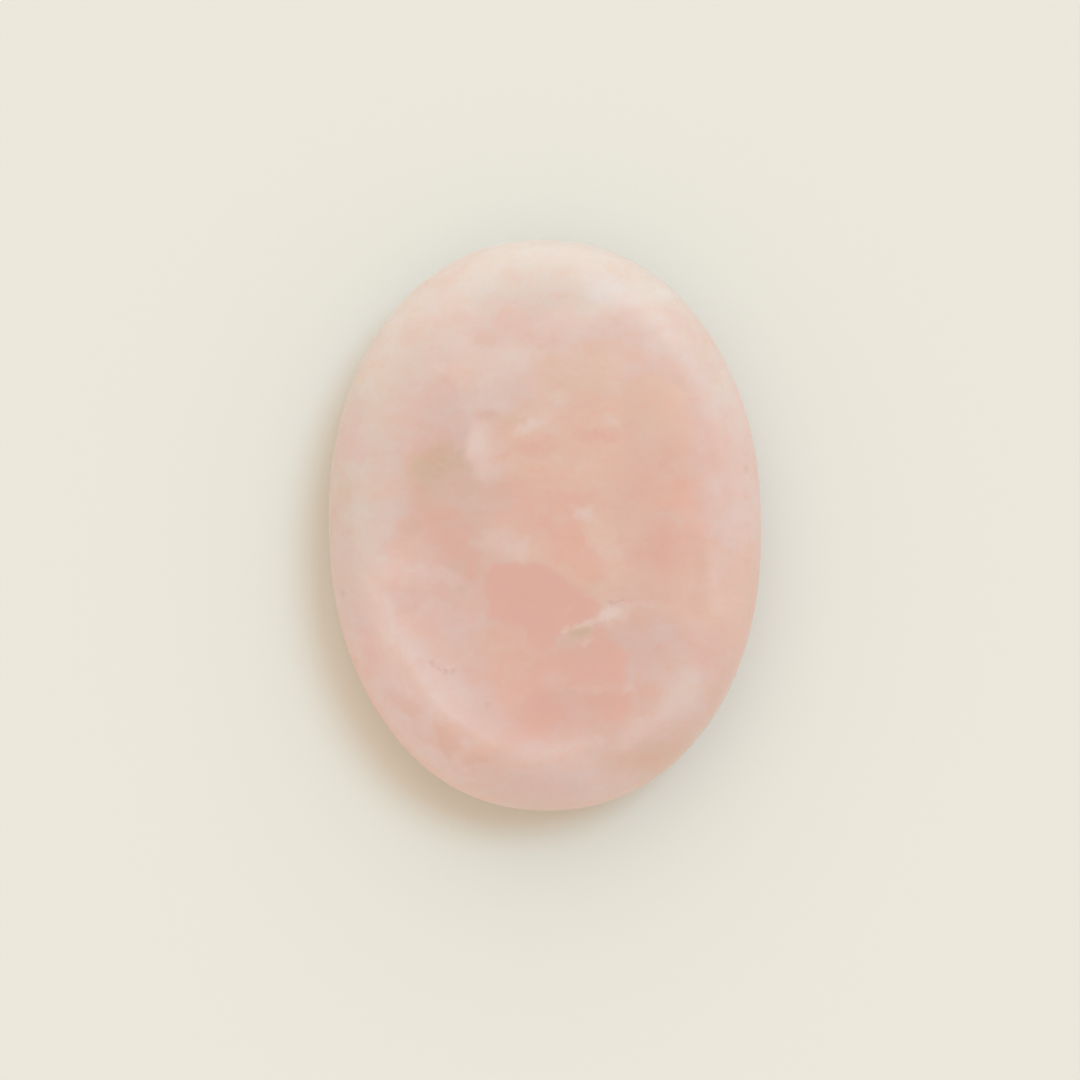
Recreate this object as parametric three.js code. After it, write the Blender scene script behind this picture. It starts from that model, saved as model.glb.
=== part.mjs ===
// A rose quartz palm stone: one piece of polished stone, an oval that fills the palm, with a
// shallow hollow for the thumb ground into its top and a small flat spot under it to rest on.
// Millimetres, +Z up. The origin is under the middle of the stone, on the surface it lies on.
// +Y is the long way of the oval and +X is across it.

import * as THREE from "three";

// Driving dimensions, in millimetres
const LENGTH = 60;
const WIDTH = 45.4;
const GIRDLE_HEIGHT = 7.6; // the widest ring of the stone, above the surface it lies on
const CROWN = 9.2; // how far the outer dome would rise above the girdle
const THUMB_DEPTH = 1.15; // the hollow's middle below its own brim

// Shape exponents and shares, without a unit
const OUTLINE_POWER = 2.12; // 2 is a true ellipse, and more is fuller at the corners
const DOME_POWER = 2.2; // the same, for the section above the girdle
const KEEL_POWER = 2.3; // the same, for the section below the girdle
const BRIM_SHARE = 0.822; // where the brim of the hollow lies, from the middle out to the girdle
const BRIM_DRIFT = 0.02; // how far the ring of the brim is shifted to one side
const DRIFT_DIRECTION = (30 * Math.PI) / 180; // from +X towards +Y
const HOLLOW_POWER = 3.4; // 2 is a plain bowl, and more is flatter in the middle
const FLAT_SHARE = 0.36; // how much of the oval the flat spot covers, each way

// The brim is rounded by the polishing, least on one side and most on the opposite side.
// Both are millimetres of height over which the dome and the hollow are blended.
const CRISPEST_BLEND = 0.6;
const SOFTEST_BLEND = 4.4;
const SOFTEST_DIRECTION = (70 * Math.PI) / 180; // from +X towards +Y

// Facets
const AROUND = 72;
const RINGS_UNDER = 11;
const RINGS_OVER = 24;

// The height on a rounded section that starts flat at share 0 and is upright at share 1
const sectionHeight = (share, power) =>
  Math.pow(Math.max(0, 1 - Math.pow(share, power)), 1 / power);

// Half the width of the oval in the direction of an angle
function outlineRadius(angle) {
  const across = Math.abs(Math.cos(angle)) / (WIDTH / 2);
  const along = Math.abs(Math.sin(angle)) / (LENGTH / 2);
  return Math.pow(
    Math.pow(across, OUTLINE_POWER) + Math.pow(along, OUTLINE_POWER),
    -1 / OUTLINE_POWER,
  );
}

// The lower of two heights, with the corner between them rounded over a given width
function softLower(a, b, width) {
  const mix = Math.min(1, Math.max(0, 0.5 + (0.5 * (b - a)) / width));
  return b * (1 - mix) + a * mix - width * mix * (1 - mix);
}

// Height of the outer dome above the girdle
const domeHeight = (share) => CROWN * sectionHeight(share, DOME_POWER);

// How wide the rounding of the brim is in the direction of an angle
function brimBlend(angle) {
  const softness = 0.5 + 0.5 * Math.cos(angle - SOFTEST_DIRECTION);
  return CRISPEST_BLEND + (SOFTEST_BLEND - CRISPEST_BLEND) * softness;
}

// Height of the hollow above the girdle: level in the middle, up to the brim in that direction
function hollowHeight(share, angle) {
  const brimShare =
    BRIM_SHARE + BRIM_DRIFT * Math.cos(angle - DRIFT_DIRECTION);
  const floor = domeHeight(BRIM_SHARE) - THUMB_DEPTH;
  const wall = domeHeight(brimShare) - floor;
  return floor + wall * Math.pow(share / brimShare, HOLLOW_POWER);
}

// Height of the top at a share of the way from the middle to the girdle
function topHeight(share, angle) {
  const hollow = hollowHeight(share, angle);
  return GIRDLE_HEIGHT + softLower(domeHeight(share), hollow, brimBlend(angle));
}

// Height of the underside, which is flat inside FLAT_SHARE
function underHeight(share) {
  const out = Math.max(0, (share - FLAT_SHARE) / (1 - FLAT_SHARE));
  return GIRDLE_HEIGHT * (1 - sectionHeight(out, KEEL_POWER));
}

// The rings of the stone from the flat spot, out round the girdle and in over the top.
// Steps are even in angle round the section, so they crowd where it bends.
function rings() {
  const made = [];
  for (let i = 0; i < RINGS_UNDER; i++) {
    const turn = ((i / RINGS_UNDER) * Math.PI) / 2;
    const share = FLAT_SHARE + (1 - FLAT_SHARE) * Math.sin(turn);
    made.push({ share, heightAt: underHeight });
  }
  for (let i = 0; i < RINGS_OVER; i++) {
    const turn = ((i / RINGS_OVER) * Math.PI) / 2;
    made.push({ share: Math.cos(turn), heightAt: topHeight });
  }
  return made;
}

// One closed surface: a fan over the flat spot, bands between the rings and a fan in the hollow
function stoneGeometry() {
  const positions = [];
  const triangles = [];
  const made = rings();
  for (const ring of made) {
    for (let i = 0; i < AROUND; i++) {
      const angle = (i / AROUND) * 2 * Math.PI;
      const radius = ring.share * outlineRadius(angle);
      positions.push(
        radius * Math.cos(angle),
        radius * Math.sin(angle),
        ring.heightAt(ring.share, angle),
      );
    }
  }
  const underMiddle = positions.length / 3;
  positions.push(0, 0, 0);
  const topMiddle = underMiddle + 1;
  positions.push(0, 0, topHeight(0, 0));
  const last = (made.length - 1) * AROUND;
  for (let i = 0; i < AROUND; i++) {
    const next = (i + 1) % AROUND;
    triangles.push(underMiddle, next, i);
    triangles.push(topMiddle, last + i, last + next);
    for (let ring = 0; ring < made.length - 1; ring++) {
      const low = ring * AROUND;
      const high = low + AROUND;
      triangles.push(low + i, low + next, high + next);
      triangles.push(low + i, high + next, high + i);
    }
  }
  const geometry = new THREE.BufferGeometry();
  geometry.setAttribute(
    "position",
    new THREE.Float32BufferAttribute(positions, 3),
  );
  geometry.setIndex(triangles);
  geometry.computeVertexNormals();
  return geometry;
}

const roseQuartz = new THREE.MeshStandardMaterial({
  color: 0xdcb5a9,
  roughness: 0.4,
  metalness: 0,
});

const stone = new THREE.Mesh(stoneGeometry(), roseQuartz);
stone.name = "palm_stone";

const group = new THREE.Group();
group.add(stone);

export default group;
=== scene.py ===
# %% [markdown]
# # A rose quartz palm stone
#
# A palm stone is one piece of quartz, ground to an oval that fills the hand and polished. This one
# has a shallow hollow for the thumb ground into its top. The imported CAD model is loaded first,
# because its solid says where the stone is and how big it is. The stone drawn here takes that
# solid's place, with a finer surface and the cloudy pink finish that the solid doesn't have.

import bpy
import numpy as np
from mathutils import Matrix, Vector


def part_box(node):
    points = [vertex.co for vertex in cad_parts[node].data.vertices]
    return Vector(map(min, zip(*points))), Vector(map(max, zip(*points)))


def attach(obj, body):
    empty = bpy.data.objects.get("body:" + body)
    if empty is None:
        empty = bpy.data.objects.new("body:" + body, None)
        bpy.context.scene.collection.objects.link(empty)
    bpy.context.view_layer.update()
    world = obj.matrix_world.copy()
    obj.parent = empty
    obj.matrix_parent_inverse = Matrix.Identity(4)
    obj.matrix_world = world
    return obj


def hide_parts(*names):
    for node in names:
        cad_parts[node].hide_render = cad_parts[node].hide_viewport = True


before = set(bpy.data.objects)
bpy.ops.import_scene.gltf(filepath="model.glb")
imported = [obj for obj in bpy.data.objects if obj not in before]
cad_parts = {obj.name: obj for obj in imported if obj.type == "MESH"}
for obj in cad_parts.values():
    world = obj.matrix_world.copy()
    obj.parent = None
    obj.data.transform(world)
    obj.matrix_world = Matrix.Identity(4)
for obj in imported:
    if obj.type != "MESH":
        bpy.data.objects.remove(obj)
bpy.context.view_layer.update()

MM = 0.001  # metres in a millimetre
low_corner, high_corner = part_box("palm_stone")
WIDTH, LENGTH, THICKNESS = ((high_corner[i] - low_corner[i]) / MM for i in range(3))
print(f"the stone is {WIDTH:.1f} by {LENGTH:.1f} by {THICKNESS:.1f} mm")

# %% [markdown]
# ## The outline
#
# Seen from above the stone is nearly an ellipse, but a little fuller at its four corners, because
# it was ground freehand from a sawn blank. A superellipse has one number for that fullness, so one
# short formula gives the whole outline, and the same formula shapes the sections further on.

# %% The outline seen from above
OUTLINE_POWER = 2.12  # 2 is a true ellipse, and more is fuller at the corners


def outline_radius(angle):
    """Distance from the middle to the edge in the direction of an angle, in millimetres.

    The superellipse |x / half width| ^ power + |y / half length| ^ power = 1, solved for the
    radius."""
    across = np.abs(np.cos(angle)) / (WIDTH / 2)
    along = np.abs(np.sin(angle)) / (LENGTH / 2)
    return (across**OUTLINE_POWER + along**OUTLINE_POWER) ** (-1 / OUTLINE_POWER)


print(f"at 45 degrees the edge is {outline_radius(np.pi / 4):.1f} mm out")

# %% [markdown]
# ## The section
#
# Cut through, the stone has a flat spot to rest on, a rounded underside, a widest ring called the
# girdle, a domed flank, a brim, and inside the brim the hollow. One share runs from 0 in the
# middle to 1 at the girdle, and two curves over it give the heights of the top and the underside.
# The same curves served the CAD solid, so the fine surface lies on it.

# %% Heights of the top and the underside
GIRDLE_HEIGHT = 7.6  # millimetres above the surface it lies on
CROWN = 9.2  # how far the outer dome would rise above the girdle
DOME_POWER = 2.2
KEEL_POWER = 2.3
FLAT_SHARE = 0.36  # how much of the oval the flat spot covers, each way


def section_height(share, power):
    """A rounded section that starts flat at share 0 and is upright at share 1, from 1 to 0.

    The height is (1 - share ^ power) ^ (1 / power)."""
    return np.maximum(0, 1 - share**power) ** (1 / power)


def dome_height(share):
    """The outer dome above the girdle: the crown times the rounded section."""
    return CROWN * section_height(share, DOME_POWER)


def under_height(share):
    """The underside: level inside the flat spot, then the rounded section turned upside down."""
    out = np.maximum(0, (share - FLAT_SHARE) / (1 - FLAT_SHARE))
    return GIRDLE_HEIGHT * (1 - section_height(out, KEEL_POWER))


print(f"halfway out the dome would be {GIRDLE_HEIGHT + dome_height(0.5):.1f} mm high")

# %% [markdown]
# ## The thumb hollow
#
# The hollow is ground last, with a small round wheel, so it cuts the dome off along a ring: the
# brim. A Boolean could cut it, but it would leave a hard edge and uneven faces. Taking the lower
# of the dome and a shallow bowl gives the same ring, and blending the two where they meet rounds
# the brim as polishing does. The brim is crisper towards the lower left of the picture and softer
# towards the upper right, so the width of the blend changes with the direction.

# %% The hollow and its brim
THUMB_DEPTH = 1.15  # the hollow's middle below its brim, in millimetres
BRIM_SHARE = 0.822  # where the brim lies, from the middle out to the girdle
BRIM_DRIFT = 0.02  # how far the ring of the brim is shifted, as a share
DRIFT_DIRECTION = np.radians(30)
HOLLOW_POWER = 3.4  # 2 is a plain bowl, and more is flatter in the middle
CRISPEST_BLEND = 0.6
SOFTEST_BLEND = 4.4
SOFTEST_DIRECTION = np.radians(70)


def soft_lower(a, b, width):
    """The lower of two heights, with the corner between them rounded over a width.

    Where the two differ by less than the width they are mixed, less a bump of a quarter of the
    width at the corner."""
    mix = np.clip(0.5 + 0.5 * (b - a) / width, 0, 1)
    return b * (1 - mix) + a * mix - width * mix * (1 - mix)


def top_height(share, angle):
    """The top above the surface it lies on: the soft lower of the dome and the bowl."""
    brim_share = BRIM_SHARE + BRIM_DRIFT * np.cos(angle - DRIFT_DIRECTION)
    floor = dome_height(BRIM_SHARE) - THUMB_DEPTH
    wall = dome_height(brim_share) - floor
    bowl = floor + wall * (share / brim_share) ** HOLLOW_POWER
    softness = 0.5 + 0.5 * np.cos(angle - SOFTEST_DIRECTION)
    blend = CRISPEST_BLEND + (SOFTEST_BLEND - CRISPEST_BLEND) * softness
    return GIRDLE_HEIGHT + soft_lower(dome_height(share), bowl, blend)


print(f"the hollow's middle is {top_height(0.0, 0.0):.1f} mm high")

# %% [markdown]
# ## A surface from rings
#
# The skin is a grid of points: one way runs round the stone, and the other runs from the flat
# spot, out over the girdle and in to the middle of the hollow. Steps that are even in angle round
# the section crowd together where it bends. The whole grid is worked out at once as arrays.

# %% The grid of points
AROUND = 480
RINGS_UNDER = 32
RINGS_OVER = 150

turn_under = np.arange(RINGS_UNDER) / RINGS_UNDER * np.pi / 2
turn_over = np.arange(RINGS_OVER) / RINGS_OVER * np.pi / 2
share_under = FLAT_SHARE + (1 - FLAT_SHARE) * np.sin(turn_under)
share_over = np.cos(turn_over)
angle = np.arange(AROUND) / AROUND * 2 * np.pi

share = np.concatenate([share_under, share_over])[:, None]
height = np.concatenate(
    [
        np.repeat(under_height(share_under)[:, None], AROUND, axis=1),
        top_height(share_over[:, None], angle[None, :]),
    ]
)
radius = share * outline_radius(angle)[None, :]
skin = np.stack([radius * np.cos(angle), radius * np.sin(angle), height], axis=-1)
print(f"{skin.shape[0]} rings of {skin.shape[1]} points")

# %% [markdown]
# ## What the hand leaves
#
# A stone held by hand against a wheel is never quite true: the polish shows long, faint waves, a
# few hundredths of a millimetre high, which is why light runs unevenly along the brim. They are
# real shape, so they are moved into the points, along the surface's own direction. The flat spot
# is lapped on a plate and stays level.

# %% Long faint waves
WAVE_HEIGHT = 0.014  # millimetres, each of the waves
WAVE_COUNT = 7
LONGEST_WAVE = 24.0
SHORTEST_WAVE = 10.0
FLAT_MARGIN = 1.5  # the waves fade in over this height above the flat spot

chance = np.random.default_rng(4)
wave_directions = chance.normal(size=(WAVE_COUNT, 3))
wave_directions /= np.linalg.norm(wave_directions, axis=1, keepdims=True)
wave_lengths = chance.uniform(SHORTEST_WAVE, LONGEST_WAVE, WAVE_COUNT)
wave_starts = chance.uniform(0, 2 * np.pi, WAVE_COUNT)


def waves(points):
    """The sum of plane sine waves that cross the stone in chance directions."""
    phase = points @ (wave_directions / wave_lengths[:, None] * 2 * np.pi).T
    return WAVE_HEIGHT * np.sin(phase + wave_starts).sum(axis=-1)


def outward(points):
    """Unit normals of a grid: the cross product of its two ways, by central differences."""
    round_way = np.roll(points, -1, axis=1) - np.roll(points, 1, axis=1)
    ring_way = np.gradient(points, axis=0)
    normal = np.cross(round_way, ring_way)
    return normal / np.linalg.norm(normal, axis=-1, keepdims=True)


off_flat = np.clip(skin[..., 2:] / FLAT_MARGIN, 0, 1)
skin = skin + outward(skin) * waves(skin)[..., None] * off_flat
print(f"the waves move the skin by up to {np.abs(waves(skin)).max():.2f} mm")

# %% [markdown]
# ## Places in the picture
#
# The pits, clouds and flecks were read off the picture, in millimetres to the right of the
# stone's middle and up from it. Many of their colours were measured in the picture, at places
# chosen one by one, and then changed against renders. The picture is turned by about a
# degree against the stone, and the top of the stone lies closer to the lens than its girdle, so
# it looks a little larger. One helper turns and shrinks a place in the picture to a place on the
# stone.

# %% From the picture to the stone
TILT = np.radians(1.1)  # how far the stone's top leans to the left in the picture
NEARNESS = 1.013  # how much larger the top looks than the girdle
TOP = 12.0  # height of the marks on the top, in millimetres
FLANK = 10.0  # height of the marks on the flank


def on_stone(x, y, z=TOP):
    """The place on the stone of a place in the picture: turned by the tilt and shrunk."""
    x, y = x / NEARNESS, y / NEARNESS
    return (
        x * np.cos(TILT) + y * np.sin(TILT),
        y * np.cos(TILT) - x * np.sin(TILT),
        z,
    )


print("28 mm up the picture is at", np.round(on_stone(0, 28), 1))

# %% [markdown]
# ## Small pits
#
# Quartz that was cracked in the rock keeps a few open spots that polishing doesn't reach: here a
# slanted slit with a chalky rim near the lower middle of the hollow, a short crooked scratch
# towards the lower left, and some pinholes. They are pressed into the points as small dents with
# a rounded lip.

# %% Dents pressed into the top
# Each is a place (x, y), half its length and width, its turn in degrees and its depth, in mm
DENTS = [
    ("open slit", 3.6, -11.3, 1.4, 0.45, 30, 0.09),
    ("short slit above it", 4.4, -10.6, 0.7, 0.16, 16, 0.04),
    ("crooked scratch, upper end", -11.9, -14.5, 0.4, 0.3, -60, 0.04),
    ("crooked scratch, bend", -11.2, -15.0, 0.4, 0.17, -25, 0.03),
    ("crooked scratch, lower end", -10.5, -15.3, 0.35, 0.3, 0, 0.04),
    ("crooked scratch, tail", -9.6, -15.3, 0.35, 0.24, 30, 0.03),
    ("pinhole below the scratch", -6.0, -18.8, 0.45, 0.25, 0, 0.04),
    ("pinhole on the right flank", 21.1, 5.9, 0.3, 0.4, 0, 0.05),
    ("pinhole on the left flank", -21.3, -7.2, 0.3, 0.35, 0, 0.05),
]


def dent(points, x, y, half_long, half_short, turn, depth):
    """How deep a dent is at each point: depth times (1 - q ^ 2) ^ 1.5 inside its ellipse.

    q is the distance from its middle as a share of the ellipse's radius that way."""
    middle = on_stone(x, y)
    turn = np.radians(turn) - TILT
    dx, dy = points[..., 0] - middle[0], points[..., 1] - middle[1]
    long_way = (dx * np.cos(turn) + dy * np.sin(turn)) / half_long
    short_way = (dy * np.cos(turn) - dx * np.sin(turn)) / half_short
    inside = np.maximum(0, 1 - long_way**2 - short_way**2)
    return depth * inside**1.5


over_girdle = skin[..., 2] > GIRDLE_HEIGHT
for name, *place in DENTS:
    skin[..., 2] -= dent(skin, *place) * over_girdle
    print(f"{name}: {place[-1]:.2f} mm deep")

# %% [markdown]
# ## The mesh
#
# The grid becomes a mesh: bands of four-sided faces between the rings, and a fan of triangles
# from a middle point over the flat spot and over the hollow, so the skin is closed. The arrays
# go in whole, which takes a moment where a loop would take a minute.

# %% From the grid to one closed piece
def build_skin(grid, name):
    """A closed mesh object from a grid of rings, with a middle point at either end."""
    rings, around = grid.shape[:2]
    middle_under = grid[0].mean(axis=0)
    middle_top = grid[-1].mean(axis=0)
    points = np.concatenate([grid.reshape(-1, 3), [middle_under, middle_top]]) * MM
    ring = np.arange(rings - 1)[:, None] * around
    here = np.arange(around)[None, :]
    after = (here + 1) % around
    bands = np.stack(
        [ring + here, ring + after, ring + around + after, ring + around + here],
        axis=-1,
    ).reshape(-1, 4)
    last = (rings - 1) * around
    under, top = rings * around, rings * around + 1
    here, after = here[0], after[0]
    fan_under = np.stack([np.full(around, under), after, here], axis=-1)
    fan_top = np.stack([np.full(around, top), last + here, last + after], axis=-1)
    mesh = bpy.data.meshes.new(name)
    mesh.from_pydata(points, [], bands.tolist() + fan_under.tolist() + fan_top.tolist())
    mesh.shade_smooth()
    piece = bpy.data.objects.new(name, mesh)
    bpy.context.scene.collection.objects.link(piece)
    return piece


stone = build_skin(skin, "polished_stone")
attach(stone, "root")
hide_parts("palm_stone")
print(f"{len(stone.data.polygons)} faces")

# %% [markdown]
# ## Fields of chance
#
# Nothing in a stone has a clean edge. A field made of many plane waves that cross it in chance
# directions gives lumps of any size, and it is worked out inside the solid rather than on its
# skin, so it runs on from the top over the flank to the underside as real clouds do. Three such
# fields push a place about before a cloud is drawn there, which frays the cloud's edge.

# %% Lumpy fields and pushed places
WAVES_EACH = 14  # plane waves in each octave

# Size of the lumps that push a place about, how far they push it, and the seed of their chance
RAGGED = (0.8, 0.22, 100)
FRAYED = (1.9, 0.45, 200)
DRIFTING = (5.0, 1.1, 300)

points = np.empty(len(stone.data.vertices) * 3)
stone.data.vertices.foreach_get("co", points)
points = points.reshape(-1, 3) / MM


def lumps(where, size, seed, octaves=2):
    """A field of about -1 to 1 whose largest lumps are about a size across, in millimetres.

    Each octave is a sum of sines of plane waves, half as long and half as strong as the octave
    before it."""
    draw = np.random.default_rng(seed)
    field = 0
    for octave in range(octaves):
        directions = draw.normal(size=(WAVES_EACH, 3))
        directions /= np.linalg.norm(directions, axis=1, keepdims=True)
        lengths = 2 * size * draw.uniform(0.7, 1.4, (WAVES_EACH, 1)) / 2**octave
        phase = where @ (directions / lengths * 2 * np.pi).T
        starts = draw.uniform(0, 2 * np.pi, WAVES_EACH)
        field = field + np.sin(phase + starts).sum(axis=-1) / 2**octave
    return field / np.sqrt(2 * WAVES_EACH)


def pushed(where, size, reach, seed):
    """Places moved by up to about a reach, in millimetres, by three fields of one size."""
    push = [lumps(points, size, seed + way) for way in range(3)]
    return where + reach * np.stack(push, axis=-1)


ragged = pushed(points, *RAGGED)
frayed = pushed(ragged, *FRAYED)
drifting = pushed(frayed, *DRIFTING)
print(f"{len(points)} points, pushed by up to {np.abs(drifting - points).max():.1f} mm")

# %% [markdown]
# ## Clouds and glazes
#
# A cloud is a soft ellipsoid under the skin, like a drop of milk. In its own frame its edge is at
# a distance of 1, and a smooth step fades it out there. Painting goes from the ground colour up:
# each cloud covers what is below it by its strength, as glazes do. Each is worked out once for
# every point of the mesh, and not again for every ray of light, so the render stays quick.

# %% A step, a cloud and a glaze
def step(value, zero_at, one_at):
    """A smooth step from 0 to 1 between two values, falling where they are given the other way.

    With t running from 0 to 1 between them, it is 3 t ^ 2 - 2 t ^ 3."""
    t = np.clip((value - zero_at) / (one_at - zero_at), 0, 1)
    return t * t * (3 - 2 * t)


def cloud(where, x, y, half_x, half_y, turn=0.0, soft=0.5, z=TOP, half_z=6.0):
    """1 inside an ellipsoid, fading to 0 across its edge. Lengths in mm, the turn in degrees."""
    away = where - on_stone(x, y, z)
    turn = np.radians(turn) - TILT
    along = (away[:, 0] * np.cos(turn) + away[:, 1] * np.sin(turn)) / half_x
    across = (away[:, 1] * np.cos(turn) - away[:, 0] * np.sin(turn)) / half_y
    distance = np.sqrt(along**2 + across**2 + (away[:, 2] / half_z) ** 2)
    return step(distance, 1 + soft, 1 - soft)


def glaze(below, colour, cover):
    """Lays a colour over others where the cover is 1: below + (colour - below) * cover."""
    return below + (np.array(colour) - below) * cover[:, None]


def clouds(below, where, rows, z=TOP, half_z=6.0, within=1.0):
    """Lays a list of clouds over a colour, each with a colour and a strength of its own.

    Where within is less than 1, all of them are weaker by that factor."""
    for x, y, half_x, half_y, turn, soft, colour, strength in rows:
        cover = cloud(where, x, y, half_x, half_y, turn, soft, z, half_z)
        below = glaze(below, colour, cover * strength * within)
    return below


print("a cloud of 2 by 1 mm covers", np.count_nonzero(cloud(points, 0, 0, 2, 1) > 0.5), "points")

# %% [markdown]
# ## The ground colour
#
# Most of the stone is a dusty pink that drifts between a warmer and a paler tone over about a
# centimetre. It is the same on every side, so this is what the underside shows.

# %% The ground
DUSTY_PINK = (0.705, 0.505, 0.455)
WARM_PINK = (0.720, 0.480, 0.420)
PALE_PINK = (0.715, 0.540, 0.500)
DRIFT_SIZE = 8.0  # millimetres, the largest lumps of the drift

broad = lumps(drifting, DRIFT_SIZE, seed=7)
coat = np.tile(DUSTY_PINK, (len(points), 1))
coat = glaze(coat, WARM_PINK, step(broad, 0.0, 1.0))
coat = glaze(coat, PALE_PINK, step(broad, 0.0, -1.0) * 0.8)
print("the ground drifts between", WARM_PINK, "and", PALE_PINK)

# %% [markdown]
# ## The flank
#
# The flank is seen at a slant through a long way of stone, and its colour changes on the way
# round: lilac at the lower left, greyer along the bottom, rust on the right, milky at the top.
# It is partly painted light: the paler lilac lifts the lower left, which lies in shade, and the
# colours on the lit right are a shade darker. The flank is what lies outside an oval that is a
# little smaller than the outline, and a wide cloud for each direction says which colour it has
# there.

# %% Colours on the way round, partly painted light
# The paler lilac is painted light: it lifts the flank at the lower left, which lies in shade
LILAC_PAINTED_LIGHT = (0.742, 0.552, 0.545)
LILAC_GREY = (0.686, 0.508, 0.484)
RUST = (0.700, 0.464, 0.408)
MAUVE = (0.668, 0.482, 0.448)
SAGE = (0.656, 0.537, 0.492)
SAGE_PINK = (0.668, 0.518, 0.493)
MILK = (0.690, 0.585, 0.547)
FLANK_FROM = 0.79  # the flank begins at this share of the way out
FLANK_TO = 0.89  # and from here on only its own colours show
TALL = 9.0  # half the height of clouds that reach from the brim to the underside

out = np.linalg.norm(frayed[:, :2] / (WIDTH / 2, LENGTH / 2), axis=1)
flank = step(out, FLANK_FROM, FLANK_TO)

# Partly painted light: paler on the shaded lower left, a shade darker on the lit right
FLANK_COLOURS_AND_PAINTED_LIGHT = [
    # x, y, half width and height, turn, softness, colour, strength
    (19.5, 16.0, 6.0, 13.0, 25, 0.5, (0.680, 0.521, 0.480), 1.0),
    (22.0, 2.5, 5.0, 9.0, 0, 0.5, (0.693, 0.498, 0.460), 1.0),
    (21.0, -9.0, 5.0, 7.0, -15, 0.5, RUST, 1.0),
    (15.0, -20.0, 8.0, 6.0, 50, 0.5, MAUVE, 1.0),
    (1.0, -28.0, 11.0, 5.0, 0, 0.5, LILAC_GREY, 1.0),
    (-16.5, -18.0, 6.0, 14.0, 35, 0.5, LILAC_PAINTED_LIGHT, 1.0),
    (-21.5, -6.0, 3.0, 6.0, 8, 0.5, (0.690, 0.538, 0.526), 1.0),
    (-21.0, 6.0, 5.0, 10.0, 0, 0.5, SAGE_PINK, 1.0),
    (-16.0, 19.5, 6.0, 8.0, -35, 0.5, (0.685, 0.540, 0.512), 1.0),
]
coat = clouds(coat, drifting, FLANK_COLOURS_AND_PAINTED_LIGHT, FLANK, TALL, flank)
print(len(FLANK_COLOURS_AND_PAINTED_LIGHT), "colours on the way round")

# %% [markdown]
# ## The pale end
#
# One end of the stone is milkier: tiny bubbles in the quartz scatter the light before it can turn
# pink. The milk is thickest at the very end and thins out in the hollow, where it turns pinker,
# and a grey-green tongue of it runs down the left side.

# %% Milk at the top end and down the left side
PINK_MILK = (0.740, 0.588, 0.538)
GREY_MILK = (0.690, 0.560, 0.518)
OLD_ROSE = (0.718, 0.530, 0.482)
CREAM_PINK = (0.772, 0.628, 0.573)
MILK_FROM = 20.8  # millimetres up the length, where the milk begins
MILK_TO = 24.4  # and where it is thickest

PALE_END = [
    # x, y, half width and height, turn, softness, colour, strength
    (-4.0, 19.5, 13.5, 7.5, 4, 0.35, PINK_MILK, 0.95),
    (-5.0, 16.2, 7.5, 2.0, 6, 0.6, CREAM_PINK, 0.45),
    (-15.4, 14.0, 2.8, 4.4, -10, 0.5, (0.666, 0.575, 0.528), 0.85),
    (-15.8, 1.0, 1.3, 2.2, 0, 0.5, (0.695, 0.486, 0.438), 0.7),
    (-17.2, -3.8, 1.7, 3.0, 8, 0.5, (0.690, 0.490, 0.458), 0.7),
    (-15.5, 17.0, 4.6, 7.0, -32, 0.5, GREY_MILK, 0.85),
    (11.5, 19.0, 5.0, 2.8, -36, 0.5, (0.690, 0.515, 0.462), 0.75),
    (-18.2, 3.4, 3.0, 10.5, 2, 0.5, SAGE, 0.8),
    (-11.5, 12.2, 5.4, 1.9, 6, 0.5, (0.692, 0.500, 0.440), 0.85),
    (-5.0, 20.8, 3.6, 1.6, 20, 0.5, OLD_ROSE, 0.5),
    (-9.8, 21.8, 1.4, 1.0, 0, 0.6, OLD_ROSE, 0.4),
    (1.0, 18.6, 4.0, 2.2, 0, 0.5, (0.748, 0.572, 0.520), 0.5),
    (5.6, 20.2, 1.2, 0.9, 20, 0.6, OLD_ROSE, 0.45),
    (12.4, 20.0, 1.6, 1.0, -40, 0.6, OLD_ROSE, 0.45),
    (9.6, 18.9, 1.6, 0.8, -30, 0.6, OLD_ROSE, 0.4),
    (-5.4, 13.6, 3.2, 1.3, 0, 0.6, (0.738, 0.556, 0.506), 0.7),
    (-2.4, 16.6, 1.8, 1.0, 0, 0.6, (0.785, 0.640, 0.585), 0.2),
    (-9.5, 18.4, 1.8, 0.8, 10, 0.6, CREAM_PINK, 0.4),
    (-11.6, 18.4, 2.2, 2.0, 0, 0.6, (0.700, 0.575, 0.532), 0.6),
    (14.6, 24.6, 2.4, 1.2, -42, 0.6, (0.665, 0.520, 0.478), 0.5),
]
coat = clouds(coat, drifting, PALE_END)
coat = glaze(coat, MILK, step(drifting[:, 1], MILK_FROM, MILK_TO) * 0.95)
PINK_IN_MILK = [(-10.5, 26.5, 3.4, 1.8, 35, 0.5, (0.704, 0.530, 0.488), 0.6)]
coat = clouds(coat, drifting, PINK_IN_MILK, FLANK)
print("milk covers the top end")

# %% [markdown]
# ## The warm middle
#
# The middle of the hollow is warmest. Peach turns to yellow at its upper edge and to red towards
# the right and below, the left side is browner with a tan-green patch, and the lower right is
# slate pink.

# %% Peach, red, brown and green grounds
PEACH = (0.785, 0.530, 0.448)
OLIVE_PEACH = (0.760, 0.556, 0.478)
RED_PEACH = (0.750, 0.492, 0.422)
RED = (0.775, 0.486, 0.413)
ORANGE = (0.755, 0.487, 0.412)
BROWN_PINK = (0.716, 0.486, 0.418)
TAN_GREEN = (0.642, 0.473, 0.368)
BEIGE_PINK = (0.730, 0.512, 0.450)
GREY_BROWN = (0.678, 0.472, 0.402)
DUSTY_BROWN = (0.676, 0.460, 0.402)
SLATE_PINK = (0.680, 0.500, 0.455)

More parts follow.
